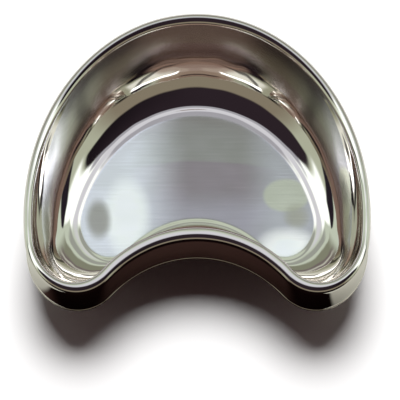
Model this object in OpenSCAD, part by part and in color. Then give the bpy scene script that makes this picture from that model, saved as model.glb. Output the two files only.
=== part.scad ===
// Kidney dish (emesis basin), one deep-drawn stainless steel sheet.
// A kidney-shaped bowl with a flat, slightly recessed floor, walls that sweep
// up out of a large round corner, and a rim that arches over and turns down
// all the way round to a small rolled hem.
// Frame: +X along the length, +Y towards the long bowed back, -Y towards the
// hollow front, +Z up. Origin under the middle of the dish on the table.
// The plan sizes below are those of a 250 mm dish and grow with its length;
// the sheet, rim, hem and heights don't.

/* [Dish] */
// Overall length over the rim
dish_l = 250; // [200:1:320]
// Overall height from the table to the top of the rim
dish_h = 42.5; // [36:0.5:56]
// Thickness of the steel sheet
sheet_t = 0.7; // [0.6:0.05:1.2]

/* [Rim outline] */
// Radius of the two rounded ends at the inner edge of the rim
end_r = 30.3; // [27:0.1:34]
// Radius of the hollow front at the inner edge of the rim
notch_r = 102.3; // [90:0.1:125]
// How far the back curve runs on past the middle of the ends, in degrees
end_swing = 5.3; // [2:0.1:8]

/* [Rim section] */
// Radius over the top of the rim
rim_r = 3.2; // [2.4:0.1:4]
// Extra width of the rim along the hollow front, as a flat land on its top
front_land = 2; // [0:0.1:3]
// Drop of the turned-down rim below the top of the dish
rim_drop = 20.7; // [12:0.1:24]
// Radius of the rolled hem at the free edge
hem_r = 0.75; // [0.65:0.05:1]

/* [Floor outline] */
// Radius of the back edge of the floor
floor_back_r = 93.2; // [88:0.1:97]
// Radius of the two rounded ends of the floor
floor_end_r = 24.6; // [21:0.1:29]
// Angle at which the back edge of the floor turns into its ends, in degrees
floor_swing = 18.6; // [15:0.1:22]
// Radius of the hollow front edge of the floor
floor_notch_r = 74; // [56:0.1:90]

/* [Floor and wall section] */
// Width of the shallow step round the flat floor
step_w = 4.6; // [3:0.1:7]
// Depth of the shallow step round the flat floor
step_d = 0.4; // [0.3:0.05:1.2]
// How far the round corner reaches across towards the wall (share of the wall's run)
corner_reach = 0.55; // [0.4:0.01:0.7]
// Height of the upper, nearly straight part of the wall
wall_straight = 18; // [10:0.5:22]
// Outward lean of the upper wall, in degrees
wall_draft = 5; // [3:0.5:10]

/* [Hidden] */

plan_scale = dish_l / 250;
deg_per_rad = 180 / PI;

// --- Plan outlines ---
// Each is three tangent arcs on the right half, mirrored to the left: the back
// about the Y axis, the rounded end, and the notch (the hollow front).
// Columns of an outline; SWING is the angle where the back meets the end,
// SHIFT moves the whole outline along Y
BACK_R = 0;
END_R = 1;
SWING = 2;
NOTCH_R = 3;
SHIFT = 4;

hem_overhang = max(0, hem_r - sheet_t / 2);
rim_w = 2 * rim_r + hem_overhang;
floor_shift = 1.2;
RIM = [dish_l / 2 - rim_w, end_r * plan_scale, -end_swing, notch_r * plan_scale, 0];
FLOOR = [
    floor_back_r * plan_scale, floor_end_r * plan_scale, floor_swing,
    floor_notch_r * plan_scale, floor_shift * plan_scale
];

// Centre of the right-hand end
function end_x(o) = (o[BACK_R] - o[END_R]) * cos(o[SWING]);
function end_y(o) = (o[BACK_R] - o[END_R]) * sin(o[SWING]);

// Distance of the notch centre in front of the end centres
function notch_dy(o) = sqrt(pow(o[NOTCH_R] + o[END_R], 2) - pow(end_x(o), 2));

// Angle from the notch centre to the end centre
function notch_angle(o) = atan2(notch_dy(o), end_x(o));

// [point, outward normal] on an arc; side is -1 where the bowl lies outside the arc
function arc_pt(centre, r, angle, side) =
    let (dir = [cos(angle), sin(angle)])
    [centre + r * dir, side * dir];

// [point, outward normal] on the right half of outline o, at share u of the way
// from the middle of the back to the middle of the front
function on_outline(o, u) =
    let (
        meet = notch_angle(o),
        back_len = o[BACK_R] * (90 - o[SWING]) / deg_per_rad,
        end_len = o[END_R] * (o[SWING] - meet + 180) / deg_per_rad,
        notch_len = o[NOTCH_R] * (90 - meet) / deg_per_rad,
        along = u * (back_len + end_len + notch_len),
        past_back = along - back_len,
        past_end = past_back - end_len
    )
    past_back <= 0 ?
        arc_pt([0, o[SHIFT]], o[BACK_R], 90 - along / o[BACK_R] * deg_per_rad, 1) :
    past_end <= 0 ?
        arc_pt([end_x(o), end_y(o) + o[SHIFT]], o[END_R],
            o[SWING] - past_back / o[END_R] * deg_per_rad, 1) :
    arc_pt([0, end_y(o) - notch_dy(o) + o[SHIFT]], o[NOTCH_R],
        meet + past_end / o[NOTCH_R] * deg_per_rad, -1);

// Middle of the dish front to back
y_back = RIM[BACK_R] + rim_w;
y_front = end_y(RIM) - RIM[END_R] - rim_w;
y_mid = (y_back + y_front) / 2;

// --- Wall curve ---
// Cubic Bezier from the floor edge to the rim, points [share of run, height]
z_step = sheet_t + step_d;
z_wall = dish_h - rim_r + rim_r * sin(wall_draft);
wall_run = 27 * plan_scale;
wall_lean = tan(wall_draft) * wall_straight / wall_run;
WALL = [
    [0, z_step],
    [corner_reach, z_step],
    [1 - wall_lean, z_wall - wall_straight],
    [1, z_wall]
];

function wall_pt(t) =
    WALL[0] * pow(1 - t, 3) + WALL[1] * 3 * t * pow(1 - t, 2)
    + WALL[2] * 3 * t * t * (1 - t) + WALL[3] * pow(t, 3);

// Slope of the wall in degrees
function wall_slope(t) =
    let (dir = (WALL[1] - WALL[0]) * pow(1 - t, 2)
        + (WALL[2] - WALL[1]) * 2 * t * (1 - t)
        + (WALL[3] - WALL[2]) * t * t)
    atan2(dir[1], dir[0] * wall_run);

// --- Section round the sheet ---
// Columns of a row: share of the way from floor to rim outline, distance
// outwards, height, and 1 if the row lies outside the land or 0 if inside
SHARE = 0;
OUT = 1;
HEIGHT = 2;
OUTSIDE = 3;

z_hem = dish_h - rim_drop + hem_r;
hem_x = 2 * rim_r - sheet_t / 2;
// Angle from the hem's level out to where the turned-down sheet joins it
hem_angle = acos(min(1, sheet_t / 2 / hem_r));
inner_arc = 90 - wall_draft;
under_r = rim_r - sheet_t;
// Least angle of the outer shoulder, just off the top of the arch
shoulder_min = 1;

// Row on the arch of the rim, at an angle outwards from its top
function rim_row(r, angle, outside) =
    [1, rim_r + r * sin(angle), dish_h - rim_r + r * cos(angle), outside];

ROWS = concat(
    // upper side: step, then corner and wall
    [for (i = [0:2])
        [0, -step_w * plan_scale * (1 - i / 3), sheet_t + step_d * (1 - cos(60 * i)) / 2, 0]],
    [for (i = [0:10]) let (w = wall_pt(i / 10)) [w[0], 0, w[1], 0]],
    // over the rim, with the land between its inner and outer shoulders
    [for (i = [1:4]) rim_row(rim_r, (i / 4 - 1) * inner_arc, 0)],
    [for (i = [0:4]) rim_row(rim_r, max(i * 90 / 4, shoulder_min), 1)],
    // hem
    [for (i = [0:5]) let (a = hem_angle - i * (180 + 2 * hem_angle) / 5)
        [1, hem_x + hem_r * cos(a), z_hem + hem_r * sin(a), 1]],
    // under the rim
    [for (i = [0:3]) rim_row(under_r, max(90 - i * 30, shoulder_min), 1)],
    [for (i = [0:3]) rim_row(under_r, -i / 3 * inner_arc, 0)],
    // underside of wall, corner and step
    [for (i = [7:-1:0]) let (w = wall_pt(i / 8), a = wall_slope(i / 8))
        [w[0], sheet_t * sin(a), w[1] - sheet_t * cos(a), 0]],
    [[0, -step_w * plan_scale, 0, 0]]
);

// --- Stations round the dish ---
// Station 0 is the middle of the back, station half_n the middle of the front
half_n = 52;
stations = 2 * half_n;

// Crowds the stations together round the ends, closest at share 0.63
crowd_at = 0.63;
crowding = 0.08;
function crowd(v) = v - crowding * (sin(360 * (v - crowd_at)) + sin(360 * crowd_at));

// Width of the land at share u, grown inwards: a sliver at the back and sides,
// easing to its full width along the front
land_min = 0.1;
land_start = 0.62;
land_ease = 0.2;
function ease(t) = t <= 0 ? 0 : t >= 1 ? 1 : t * t * (3 - 2 * t);
function land(u) = land_min + front_land * ease((u - land_start) / land_ease);

// Point of a row at station i; stations beyond the half are the mirror side
function shell_pt(row, i) =
    let (
        u = crowd(min(i, stations - i) / half_n),
        p = on_outline(FLOOR * (1 - row[SHARE]) + RIM * row[SHARE], u),
        out = row[OUT] + (row[OUTSIDE] - row[SHARE]) * land(u),
        pos = p[0] + p[1] * out,
        x = abs(pos[0]) < 0.0001 ? 0 : pos[0]
    )
    [i <= half_n ? x : -x, pos[1] - y_mid, row[HEIGHT]];

// --- Faces ---
function flipped(t) = [t[0], t[2], t[1]];

// Flat sheet across the inside of a row: strips from the back edge to the front
// edge on the right half, and their mirror on the left
right_cap = concat(
    [for (i = [0:half_n / 2 - 2]) [i, i + 1, half_n - i - 1]],
    [for (i = [0:half_n / 2 - 1]) [i, half_n - i - 1, half_n - i]]
);
left_cap = [for (t = right_cap) [for (q = flipped(t)) (stations - q) % stations]];
cap = concat(right_cap, left_cap);

module dish_shell() {
    last = (len(ROWS) - 1) * stations;
    bottom = [for (t = cap) flipped(t) + last * [1, 1, 1]];
    skin = [for (j = [0:len(ROWS) - 2]) for (i = [0:stations - 1])
        let (
            a = j * stations + i,
            b = j * stations + (i + 1) % stations,
            c = b + stations,
            d = a + stations
        )
        each [[a, c, b], [a, d, c]]];
    color([0.78, 0.79, 0.80])
        polyhedron(
            points = [for (row = ROWS) for (i = [0:stations - 1]) shell_pt(row, i)],
            faces = concat(cap, skin, bottom),
            convexity = 8
        );
}

dish_shell();
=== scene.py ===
import math
import bmesh
import bpy
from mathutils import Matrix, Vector


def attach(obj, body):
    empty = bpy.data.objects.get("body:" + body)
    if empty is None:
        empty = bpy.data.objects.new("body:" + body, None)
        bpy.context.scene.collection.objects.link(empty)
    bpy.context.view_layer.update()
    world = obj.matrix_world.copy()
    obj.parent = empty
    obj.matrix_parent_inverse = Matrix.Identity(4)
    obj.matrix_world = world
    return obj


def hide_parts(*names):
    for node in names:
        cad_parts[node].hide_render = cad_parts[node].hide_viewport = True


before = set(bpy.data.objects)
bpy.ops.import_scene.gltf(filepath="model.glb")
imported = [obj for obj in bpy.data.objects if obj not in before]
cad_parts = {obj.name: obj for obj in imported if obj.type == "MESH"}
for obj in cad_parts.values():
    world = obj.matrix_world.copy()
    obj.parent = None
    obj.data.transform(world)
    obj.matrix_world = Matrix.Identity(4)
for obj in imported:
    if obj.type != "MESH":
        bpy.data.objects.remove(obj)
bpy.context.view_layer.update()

scene = bpy.context.scene

# ---------------------------------------------------------------- dish shape
# The same numbers as the CAD part, in millimetres; the mesh is only finer.
L, H, T = 250.0, 42.5, 0.7
END_R, NOTCH_R, SWING = 30.3, 102.3, 5.3
RIM_R, DROP, HEM_R = 3.2, 20.7, 0.75
FLOOR = (93.2, 24.6, math.radians(18.6), 74.0, 1.2)
STEP_W, STEP_D = 4.6, 0.4
REACH, STRAIGHT, DRAFT, RUN = 0.55, 18.0, math.radians(5.0), 27.0

FRONT_LAND = 2.0
RIM_W = 2 * RIM_R + max(0.0, HEM_R - T / 2)
BACK_R = L / 2 - RIM_W
RIM = (BACK_R, END_R, -math.radians(SWING), NOTCH_R, 0.0)
Y_MID = (BACK_R + RIM_W + (BACK_R - END_R) * math.sin(-math.radians(SWING)) - END_R - RIM_W) / 2


def mix_outline(s):
    return [a * (1 - s) + b * s for a, b in zip(FLOOR, RIM)]


def on_outline(o, u):
    """x, y, nx, ny on the right half of an outline, from the back (u=0) to the front (u=1)."""
    R, r, b, n, dy = o
    lx, ly = (R - r) * math.cos(b), (R - r) * math.sin(b)
    q = math.sqrt((n + r) ** 2 - lx * lx)
    cy, g = ly - q, math.atan2(q, lx)
    la, lb, lc = R * (math.pi / 2 - b), r * (b - g + math.pi), n * (math.pi / 2 - g)
    l = u * (la + lb + lc)
    if l <= la:
        t = math.pi / 2 - l / R
        c, s = math.cos(t), math.sin(t)
        return R * c, R * s + dy, c, s
    if l <= la + lb:
        t = b - (l - la) / r
        c, s = math.cos(t), math.sin(t)
        return lx + r * c, ly + r * s + dy, c, s
    t = g + (l - la - lb) / n
    c, s = math.cos(t), math.sin(t)
    return n * c, cy + n * s + dy, -c, -s


def crowd(v):
    return v - 0.08 * (math.sin(2 * math.pi * (v - 0.63)) + math.sin(2 * math.pi * 0.63))


Z_STEP = T + STEP_D
Z_WALL = H - RIM_R + RIM_R * math.sin(DRAFT)
LEAN = math.tan(DRAFT) * STRAIGHT / RUN
C1 = (REACH, Z_STEP)
C2 = (1 - LEAN, Z_WALL - STRAIGHT)


def wall_pt(t):
    m = 1 - t
    return (3 * t * m * m * C1[0] + 3 * t * t * m * C2[0] + t ** 3,
            m ** 3 * Z_STEP + 3 * t * m * m * C1[1] + 3 * t * t * m * C2[1] + t ** 3 * Z_WALL)


def wall_dir(t):
    m = 1 - t
    a = (C1[0], C1[1] - Z_STEP)
    b = (C2[0] - C1[0], C2[1] - C1[1])
    c = (1 - C2[0], Z_WALL - C2[1])
    dx = a[0] * m * m + b[0] * 2 * t * m + c[0] * t * t
    dz = a[1] * m * m + b[1] * 2 * t * m + c[1] * t * t
    return math.atan2(dz, dx * RUN)


def land(u):
    """Extra width on top of the rim: none at the back and sides, all of it along the front."""
    v = min(1.0, max(0.0, (u - 0.62) / 0.2))
    return 0.1 + FRONT_LAND * v * v * (3 - 2 * v)


def section():
    """Rows (share floor to rim, distance outwards, height, 1 outside the rim's land or 0 inside)."""
    rows = []
    for i in range(4):
        rows.append((0, -STEP_W - 8.0 + 2.0 * i, T, 0))
    n = 12
    for i in range(n):
        rows.append((0, -STEP_W * (1 - i / n), T + STEP_D * (1 - math.cos(math.pi * i / n)) / 2, 0))
    n = 48
    for i in range(n + 1):
        s, z = wall_pt(i / n)
        rows.append((s, 0, z, 0))
    n = 14
    for i in range(1, n + 1):
        a = (i / n - 1) * (math.pi / 2 - DRAFT)
        rows.append((1, RIM_R + RIM_R * math.sin(a), H - RIM_R + RIM_R * math.cos(a), 0))
    rows.append((1, RIM_R, H, 0.5))
    for i in range(n + 1):
        a = max(i * math.pi / 2 / n, 0.017)
        rows.append((1, RIM_R + RIM_R * math.sin(a), H - RIM_R + RIM_R * math.cos(a), 1))
    zh = H - DROP + HEM_R
    hx = 2 * RIM_R - T / 2
    ha = math.acos(min(1, T / 2 / HEM_R))
    ztop, zbot = H - RIM_R, zh + HEM_R * math.sin(ha)
    n = 14
    for i in range(1, n):
        rows.append((1, 2 * RIM_R, ztop + (zbot - ztop) * i / n, 1))
    n = 16
    for i in range(n + 1):
        a = ha - i * (math.pi + 2 * ha) / n
        rows.append((1, hx + HEM_R * math.cos(a), zh + HEM_R * math.sin(a), 1))
    n = 8
    for i in range(1, n):
        rows.append((1, 2 * RIM_R - T, zbot + (ztop - zbot) * i / n, 1))
    n = 8
    for side in (1, 0):
        for i in range(n + 1):
            a = max((1 - i / n) * math.pi / 2, 0.017) if side else -i / n * (math.pi / 2 - DRAFT)
            rows.append((1, RIM_R + (RIM_R - T) * math.sin(a), H - RIM_R + (RIM_R - T) * math.cos(a), side))
    n = 36
    for i in range(n - 1, -1, -1):
        s, z = wall_pt(i / n)
        a = wall_dir(i / n)
        rows.append((s, T * math.sin(a), z - T * math.cos(a), 0))
    n = 4
    for i in range(1, n + 1):
        rows.append((0, -STEP_W * i / n, STEP_D * (1 + math.cos(math.pi * i / n)) / 2, 0))
    for i in range(3):
        rows.append((0, -STEP_W - 2.0 * (i + 1), 0.0, 0))
    return rows


def build_shell(name, half=192):
    rows = section()
    ring = 2 * half
    verts, faces = [], []
    for s, off, z, beyond in rows:
        o = mix_outline(s)
        pts = [on_outline(o, crowd(i / half)) for i in range(half + 1)]
        outs = [off + (beyond - s) * land(crowd(i / half)) for i in range(half + 1)]
        for i in range(ring):
            p = pts[i] if i <= half else pts[ring - i]
            out = outs[i] if i <= half else outs[ring - i]
            x, y = p[0] + p[2] * out, p[1] + p[3] * out - Y_MID
            if i in (0, half):
                x = 0.0
            verts.append(((x if i <= half else -x) / 1000, y / 1000, z / 1000))
    for j in range(len(rows) - 1):
        for i in range(ring):
            n = (i + 1) % ring
            faces.append((j * ring + i, (j + 1) * ring + i, (j + 1) * ring + n, j * ring + n))
    for j in (0, len(rows) - 1):
        b, h = j * ring, half // 2
        for i in range(h):
            right = [b + i, b + i + 1, b + half - i - 1, b + half - i]
            left = [b + (ring - i) % ring, b + half + i, b + half + i + 1, b + ring - i - 1]
            if i == h - 1:
                right = [right[0], right[1], right[3]]
                left = [left[0], left[1], left[3]]
            faces += [tuple(right), tuple(left)]
    mesh = bpy.data.meshes.new(name)
    mesh.from_pydata(verts, [], faces)
    mesh.validate()
    obj = bpy.data.objects.new(name, mesh)
    scene.collection.objects.link(obj)
    bm = bmesh.new()
    bm.from_mesh(mesh)
    bmesh.ops.recalc_face_normals(bm, faces=bm.faces)
    bm.to_mesh(mesh)
    bm.free()
    for p in mesh.polygons:
        p.use_smooth = True
    return obj


dish = build_shell("dish_polished_shell")

# ---------------------------------------------------------------- node helpers
class Val:
    """A socket or number that builds Math nodes when it is used in arithmetic."""

    def __init__(self, tree, sock):
        self.t, self.s = tree, sock

    def _op(self, op, *args):
        n = self.t.nodes.new("ShaderNodeMath")
        n.operation = op
        for i, v in enumerate((self,) + args):
            if isinstance(v, Val):
                self.t.links.new(v.s, n.inputs[i])
            else:
                n.inputs[i].default_value = v
        return Val(self.t, n.outputs[0])

    def __add__(self, o): return self._op("ADD", o)
    def __radd__(self, o): return self._op("ADD", o)
    def __sub__(self, o): return self._op("SUBTRACT", o)
    def __rsub__(self, o): return (self * -1.0) + o
    def __mul__(self, o): return self._op("MULTIPLY", o)
    def __rmul__(self, o): return self._op("MULTIPLY", o)
    def __truediv__(self, o): return self._op("DIVIDE", o)
    def abs(self): return self._op("ABSOLUTE")
    def sin(self): return self._op("SINE")
    def asin(self): return self._op("ARCSINE")
    def atan2(self, o): return self._op("ARCTAN2", o)
    def sqrt(self): return self._op("SQRT")
    def pow(self, o): return self._op("POWER", o)
    def min(self, o): return self._op("MINIMUM", o)
    def max(self, o): return self._op("MAXIMUM", o)

    def step(self, lo, hi):
        """0 below lo, 1 above hi, smooth between; falls instead of rising if lo > hi."""
        n = self.t.nodes.new("ShaderNodeMapRange")
        n.interpolation_type = "SMOOTHSTEP"
        flip = lo > hi
        self.t.links.new(self.s, n.inputs["Value"])
        n.inputs["From Min"].default_value = min(lo, hi)
        n.inputs["From Max"].default_value = max(lo, hi)
        n.inputs["To Min"].default_value = 1.0 if flip else 0.0
        n.inputs["To Max"].default_value = 0.0 if flip else 1.0
        return Val(self.t, n.outputs["Result"])

    def band(self, a, b, c, d):
        return self.step(a, b) * self.step(d, c)


def lin(rgb, gain=1.0):
    """Screen colour 0-255 to a linear colour."""
    return tuple(gain * ((v / 255 / 12.92) if v / 255 <= 0.04045 else ((v / 255 + 0.055) / 1.055) ** 2.4)
                 for v in rgb) + (1.0,)


def mix(tree, a, b, fac):
    n = tree.nodes.new("ShaderNodeMix")
    n.data_type = "RGBA"
    n.clamp_factor = True
    for sock, v in ((n.inputs[6], a), (n.inputs[7], b)):
        if isinstance(v, tuple):
            sock.default_value = v
        else:
            tree.links.new(v, sock)
    if isinstance(fac, Val):
        tree.links.new(fac.s, n.inputs[0])
    else:
        n.inputs[0].default_value = fac
    return n.outputs[2]


# ---------------------------------------------------------------- material
STEEL = (0.66, 0.62, 0.575)
mat = bpy.data.materials.new("polished_steel")
mat.use_nodes = True
nt = mat.node_tree
bsdf = nt.nodes["Principled BSDF"]
bsdf.inputs["Metallic"].default_value = 1.0
bsdf.inputs["Base Color"].default_value = STEEL + (1,)
pos = nt.nodes.new("ShaderNodeTexCoord")
sep = nt.nodes.new("ShaderNodeSeparateXYZ")
nt.links.new(pos.outputs["Object"], sep.inputs[0])
pz = Val(nt, sep.outputs["Z"])
flat = pz.step(0.00080, 0.00071)          # 1 on the flat satin floor, 0 on the bright wall
rough = flat * 0.21 + 0.045
nt.links.new(rough.s, bsdf.inputs["Roughness"])


def noise(scale, detail=2.0, vec=None, rough_=0.5):
    n = nt.nodes.new("ShaderNodeTexNoise")
    n.inputs["Scale"].default_value = scale
    n.inputs["Detail"].default_value = detail
    n.inputs["Roughness"].default_value = rough_
    nt.links.new(vec if vec is not None else pos.outputs["Object"], n.inputs["Vector"])
    return Val(nt, n.outputs[0])


def ramp(a, b, fac):
    return mix(nt, a + (1,), b, fac)


px, py = Val(nt, sep.outputs["X"]), Val(nt, sep.outputs["Y"])
# brushed grain on the floor: streaks along the length of the dish
grain_map = nt.nodes.new("ShaderNodeMapping")
grain_map.inputs["Scale"].default_value = (18.0, 900.0, 18.0)
nt.links.new(pos.outputs["Object"], grain_map.inputs["Vector"])
grain = noise(1.0, 4.0, grain_map.outputs[0], 0.65)
cloud = noise(22.0, 3.0)


def reflection_patch(cx, cy, rx, ry, soft_in=0.3, wobble=0.5):
    """Soft patch on the floor, 1 in the middle and 0 outside.

    The patches are painted reflections, blurred reflections painted into the material, so
    they stay where they are under any light.
    """
    ax, ay = (px - cx) * (1 / rx), (py - cy) * (1 / ry)
    return (ax * ax + ay * ay + (cloud - 0.5) * wobble).step(1.0, soft_in)


reflection_edge = py + px * px * 1.6 + (cloud - 0.5) * 0.004     # painted reflection edge: a nearly straight line across the floor where the reflected colour changes
past_reflection_edge = reflection_edge.step(0.0215, 0.0235)
# Painted reflections on the satin floor: lilac and grey bands, a pale left half, a grey right half and soft
# green, olive and bright patches, all in place of the steel's own colour.
floor_reflection_paint = mix(nt, (0.315, 0.275, 0.290, 1), (0.335, 0.325, 0.305, 1), past_reflection_edge)
floor_reflection_paint = mix(nt, floor_reflection_paint, (0.40, 0.375, 0.415, 1), py.step(0.008, -0.012))
floor_reflection_paint = mix(nt, floor_reflection_paint, (0.84, 0.85, 0.90, 1), px.step(-0.004, -0.052) * 0.9)
floor_reflection_paint = mix(nt, floor_reflection_paint, (0.50, 0.50, 0.52, 1), px.step(0.030, 0.062) * 0.85)
floor_reflection_paint = mix(nt, floor_reflection_paint, (0.56, 0.57, 0.46, 1), reflection_patch(0.066, 0.001, 0.019, 0.012, 0.6) * 0.9)
floor_reflection_paint = mix(nt, floor_reflection_paint, (0.40, 0.39, 0.31, 1), reflection_patch(0.073, -0.012, 0.012, 0.010, 0.0) * 0.8)
floor_reflection_paint = mix(nt, floor_reflection_paint, (1.05, 1.03, 0.99, 1), reflection_patch(0.066, -0.032, 0.027, 0.016, 0.0))
floor_reflection_paint = mix(nt, floor_reflection_paint, (1.05, 1.06, 1.02, 1), reflection_patch(-0.052, -0.012, 0.020, 0.030, 0.0))
floor_reflection_paint = mix(nt, floor_reflection_paint, (0.34, 0.325, 0.28, 1), reflection_patch(-0.073, -0.014, 0.011, 0.015, 0.1) * 0.85)
scratch_map = nt.nodes.new("ShaderNodeMapping")
scratch_map.inputs["Rotation"].default_value = (0.0, 0.0, 0.55)
scratch_map.inputs["Scale"].default_value = (26.0, 1500.0, 26.0)
nt.links.new(pos.outputs["Object"], scratch_map.inputs["Vector"])
scratch = noise(1.0, 2.0, scratch_map.outputs[0], 0.5)
streak = scratch.step(0.66, 0.74) * 0.16 + (grain - 0.5) * 0.26 + (cloud - 0.5) * 0.22 + 1.0
vm = nt.nodes.new("ShaderNodeVectorMath")
vm.operation = "SCALE"
nt.links.new(floor_reflection_paint, vm.inputs[0])
nt.links.new(streak.s, vm.inputs["Scale"])
cap = nt.nodes.new("ShaderNodeVectorMath")     # no patch reflects more light than it gets
cap.operation = "MINIMUM"
cap.inputs[1].default_value = (1.0, 1.0, 1.0)
nt.links.new(vm.outputs[0], cap.inputs[0])
# the satin floor takes the painted reflection colours, the bright wall keeps the steel colour
nt.links.new(ramp(STEEL, cap.outputs[0], flat), bsdf.inputs["Base Color"])

wave = noise(38.0, 1.0)
bump = nt.nodes.new("ShaderNodeBump")
bump.inputs["Strength"].default_value = 1.0
bump.inputs["Distance"].default_value = 0.00035
nt.links.new(wave.s, bump.inputs["Height"])
nt.links.new(bump.outputs[0], bsdf.inputs["Normal"])
dish.data.materials.append(mat)

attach(dish, "root")
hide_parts("dish_shell")

# ---------------------------------------------------------------- stage
bpy.ops.mesh.primitive_plane_add(size=6)
table = bpy.context.object
table.name = "table"
tm = bpy.data.materials.new("table")
tm.use_nodes = True
tb = tm.node_tree.nodes["Principled BSDF"]
tb.inputs["Base Color"].default_value = (0.9, 0.9, 0.9, 1)
tb.inputs["Roughness"].default_value = 1.0
tb.inputs["Specular IOR Level"].default_value = 0.0
tcoord = tm.node_tree.nodes.new("ShaderNodeTexCoord")
tsep = tm.node_tree.nodes.new("ShaderNodeSeparateXYZ")
tm.node_tree.links.new(tcoord.outputs["Object"], tsep.inputs[0])
tpath = tm.node_tree.nodes.new("ShaderNodeLightPath")
ty = Val(tm.node_tree, tsep.outputs["Y"])
mirrored = Val(tm.node_tree, tpath.outputs["Is Glossy Ray"])
tx = Val(tm.node_tree, tsep.outputs["X"])
# in the polished steel the table shows a painted shadow in front of the dish, lighter close to the dish, and a
# pale grey-green elsewhere; both colours appear only in reflections
front_dark = ty.step(-0.045, -0.056) * tx.band(-0.131, -0.126, 0.107, 0.113)
front_dark = front_dark.max(ty.step(-0.15, -0.17))
tcol = mix(tm.node_tree, (0.9, 0.9, 0.9, 1), (0.62, 0.64, 0.57, 1), mirrored)
# painted shadow of the dish on the reflected table: near black farther out, dim brown close to the dish
reflected_shadow_paint = mix(tm.node_tree, (0.005, 0.002, 0.002, 1), (0.110, 0.060, 0.052, 1), ty.step(-0.096, -0.062))
tcol = mix(tm.node_tree, tcol, reflected_shadow_paint, front_dark * mirrored)
tm.node_tree.links.new(tcol, tb.inputs["Base Color"])
# far from the dish the table runs out into plain white instead of a dim horizon
far = (tx * tx + ty * ty).sqrt().step(0.20, 0.65)
glow = far * Val(tm.node_tree, tpath.outputs["Is Camera Ray"])
tb.inputs["Emission Color"].default_value = (1, 1, 1, 1)
tm.node_tree.links.new(glow.s, tb.inputs["Emission Strength"])
table.data.materials.append(tm)

# One large soft light high behind the dish.
key_data = bpy.data.lights.new("key", "AREA")
key_data.shape = "ELLIPSE"
key_data.size = 1.7
key_data.size_y = 1.15
key = bpy.data.objects.new("key", key_data)
scene.collection.objects.link(key)
KEY_EL, KEY_D = math.radians(60), 1.6
key.location = (0.0, KEY_D * math.cos(KEY_EL), KEY_D * math.sin(KEY_EL))
key.rotation_mode = "QUATERNION"
key.rotation_quaternion = (-Vector(key.location)).to_track_quat("-Z", "Y")
key_data.energy = 46.0
key.visible_glossy = False

# The room as the polished steel sees it: bright grey-green screens behind and
# to the sides, a dark ceiling and dark front (where the camera stands), and a
# dull strip along the front horizon.
world = bpy.data.worlds.new("studio")
scene.world = world
world.use_nodes = True
wt = world.node_tree
wt.nodes.clear()
coord = wt.nodes.new("ShaderNodeTexCoord")
wsep = wt.nodes.new("ShaderNodeSeparateXYZ")
wt.links.new(coord.outputs["Generated"], wsep.inputs[0])
dx, dy, dz = (Val(wt, wsep.outputs[i]) for i in range(3))
DEG = 180 / math.pi
az = dx.atan2(dy) * DEG                   # 0 behind, 90 right, 180 in front
aaz = az.abs()
el = dz.max(-1.0).min(1.0).asin() * DEG
cone = (dz - dy) * (1 / math.sqrt(2))     # 1 towards the camera side and up


def room(rgb, gain=1.0):
    c = lin(rgb, gain)
    return (c[0] / STEEL[0], c[1] / STEEL[1], c[2] / STEEL[2], 1.0)


back = room((188, 195, 176))
wander = wt.nodes.new("ShaderNodeTexNoise")
wander.inputs["Scale"].default_value = 5.0
wt.links.new(coord.outputs["Generated"], wander.inputs["Vector"])
jit = (Val(wt, wander.outputs[0]) - 0.5) * 9.0
low = el + jit
col = mix(wt, back, room((150, 152, 142)), aaz.step(34, 20) * el.band(46.0, 48.0, 53.5, 55.5))
col = mix(wt, col, room((126, 127, 108)), aaz.step(52, 30) * low.step(43, 39))
col = mix(wt, col, room((112, 102, 98)), aaz.step(46, 26) * low.step(31, 27))
col = mix(wt, col, room((176, 174, 160)), aaz.step(46, 26) * low.band(19, 21, 23, 25))
col = mix(wt, col, room((176, 179, 158)), aaz.step(72, 84))
# white side screens and the white strip over the top of the back screen
white = room((250, 253, 244), 1.15)
tall = aaz + (el - 45.0) * 0.9
col = mix(wt, col, white, tall.band(50, 60, 80, 88) * el.step(24, 34))
col = mix(wt, col, room((206, 204, 208)), el.step(55, 59))
col = mix(wt, col, white, aaz.step(9, 20) * el.band(54, 57, 64, 67))
col = mix(wt, col, room((160, 158, 163)), el.step(64, 67))
# dark upright beside each screen
edge = aaz - (62.0 + (38.0 - el) * 0.93)
col = mix(wt, col, room((34, 28, 34)), edge.band(-9, -6, 7, 10) * el.band(5, 9, 33, 37))
# light low horizon behind
col = mix(wt, col, room((214, 212, 216)), el.step(14, 9) * aaz.step(66, 52))
# dark front and ceiling
dark = mix(wt, room((42, 33, 38)), room((24, 18, 22)), dx.step(-0.1, 0.8))
col = mix(wt, col, dark, cone.step(0.47, 0.52))
# dull strip along the front
front = aaz.step(92, 104)
dull = mix(wt, room((128, 118, 100)), room((170, 172, 150)), aaz.step(130, 108))
col = mix(wt, col, dull, front * el.step(39, 34))
col = mix(wt, col, room((18, 13, 14)), aaz.step(126, 134) * el.step(14, 11))

path = wt.nodes.new("ShaderNodeLightPath")
# Seen by way of two or more mirror bounces, inside the bowl, the room is browner
# and the ceiling less black, with a white lamp strip on either side.
deep = Val(wt, path.outputs["Glossy Depth"]).step(1.2, 1.8)
brown = mix(wt, room((166, 140, 126)), room((150, 126, 115)), cone.step(0.60, 0.70))
middle = aaz.step(58, 40).max(aaz.step(138, 156)).max(el.step(50, 60))
dcol = mix(wt, col, brown, middle * 0.8)
dcol = mix(wt, dcol, room((80, 64, 60)), aaz.step(30, 20) * el.band(33, 35, 40, 43))
stripes = (aaz * 0.23 + el * 0.06).sin()
dcol = mix(wt, dcol, room((40, 32, 34)), stripes.step(0.62, 0.82) * aaz.band(58, 64, 128, 136) * 0.85)
lamp = el - (52.0 - (aaz - 42.0) * 0.57)
dcol = mix(wt, dcol, room((255, 255, 255), 3.2), lamp.band(-3.5, -2.2, 2.2, 3.5) * aaz.band(34, 37, 84, 92))
col = mix(wt, col, dcol, deep)
bg = wt.nodes.new("ShaderNodeBackground")
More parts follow.
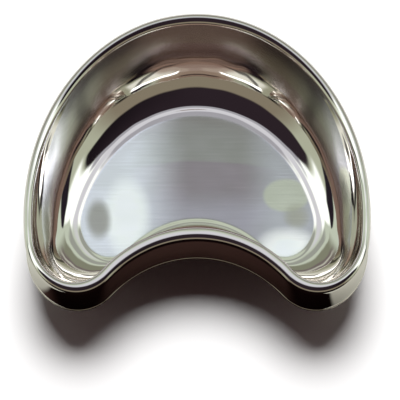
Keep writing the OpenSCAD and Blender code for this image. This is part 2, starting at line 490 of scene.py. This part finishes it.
soft = Val(wt, path.outputs["Diffuse Depth"]).step(0.2, 0.8)
seen = Val(wt, path.outputs["Is Camera Ray"])
# on matt surfaces: almost no fill light, and what there is comes low from the sides
fill = mix(wt, (0.016, 0.008, 0.008, 1), (0.26, 0.155, 0.155, 1), aaz.band(35, 60, 120, 145) * el.step(45, 20))
col = mix(wt, col, fill, soft)
col = mix(wt, col, (1, 1, 1, 1), seen)
wt.links.new(col, bg.inputs["Color"])
wout = wt.nodes.new("ShaderNodeOutputWorld")
wt.links.new(bg.outputs[0], wout.inputs["Surface"])

scene.view_settings.view_transform = "Standard"

# ---------------------------------------------------------------- camera
# The picture being matched is squeezed sideways, which a shifted lens gives
# without changing the dish: the film is nearly parallel to the table and the
# dish is seen through the upper edge of the image circle.
ELEV, TILT, DIST = math.radians(58.0), math.radians(43.5), 1.508
SCALE, TARGET_ROW, TX = 1397.0, 219.2, 0.0021
cam_data = bpy.data.cameras.new("camera")
cam = bpy.data.objects.new("camera", cam_data)
scene.collection.objects.link(cam)
scene.camera = cam
focal = SCALE * DIST * math.cos(TILT)
row0 = TARGET_ROW + focal * math.tan(TILT)
look = ELEV + TILT
cam.location = (TX, -DIST * math.cos(ELEV) - Y_MID / 1000, DIST * math.sin(ELEV) + H / 1000)
cam.rotation_euler = (math.pi / 2 - look, 0, 0)
cam_data.sensor_width = 36.0
cam_data.lens = 36.0 * focal / 400
SHIFT = (row0 - 200) / 400
cam_data.shift_y = SHIFT
# The shift belongs to this one view, where the camera leans past straight down:
# a curve takes it away again as soon as the camera is turned to look ahead.
curve = cam_data.driver_add("shift_y")
curve.driver.type = "SUM"
var = curve.driver.variables.new()
var.type = "TRANSFORMS"
var.targets[0].id = cam
var.targets[0].transform_type = "ROT_X"
for m in list(curve.modifiers):
    curve.modifiers.remove(m)
home = math.pi / 2 - look
for x, y in ((home + 0.03, SHIFT), (home + 0.09, 0.0)):
    key_pt = curve.keyframe_points.insert(x, y)
    key_pt.interpolation = "LINEAR"
curve.extrapolation = "CONSTANT"
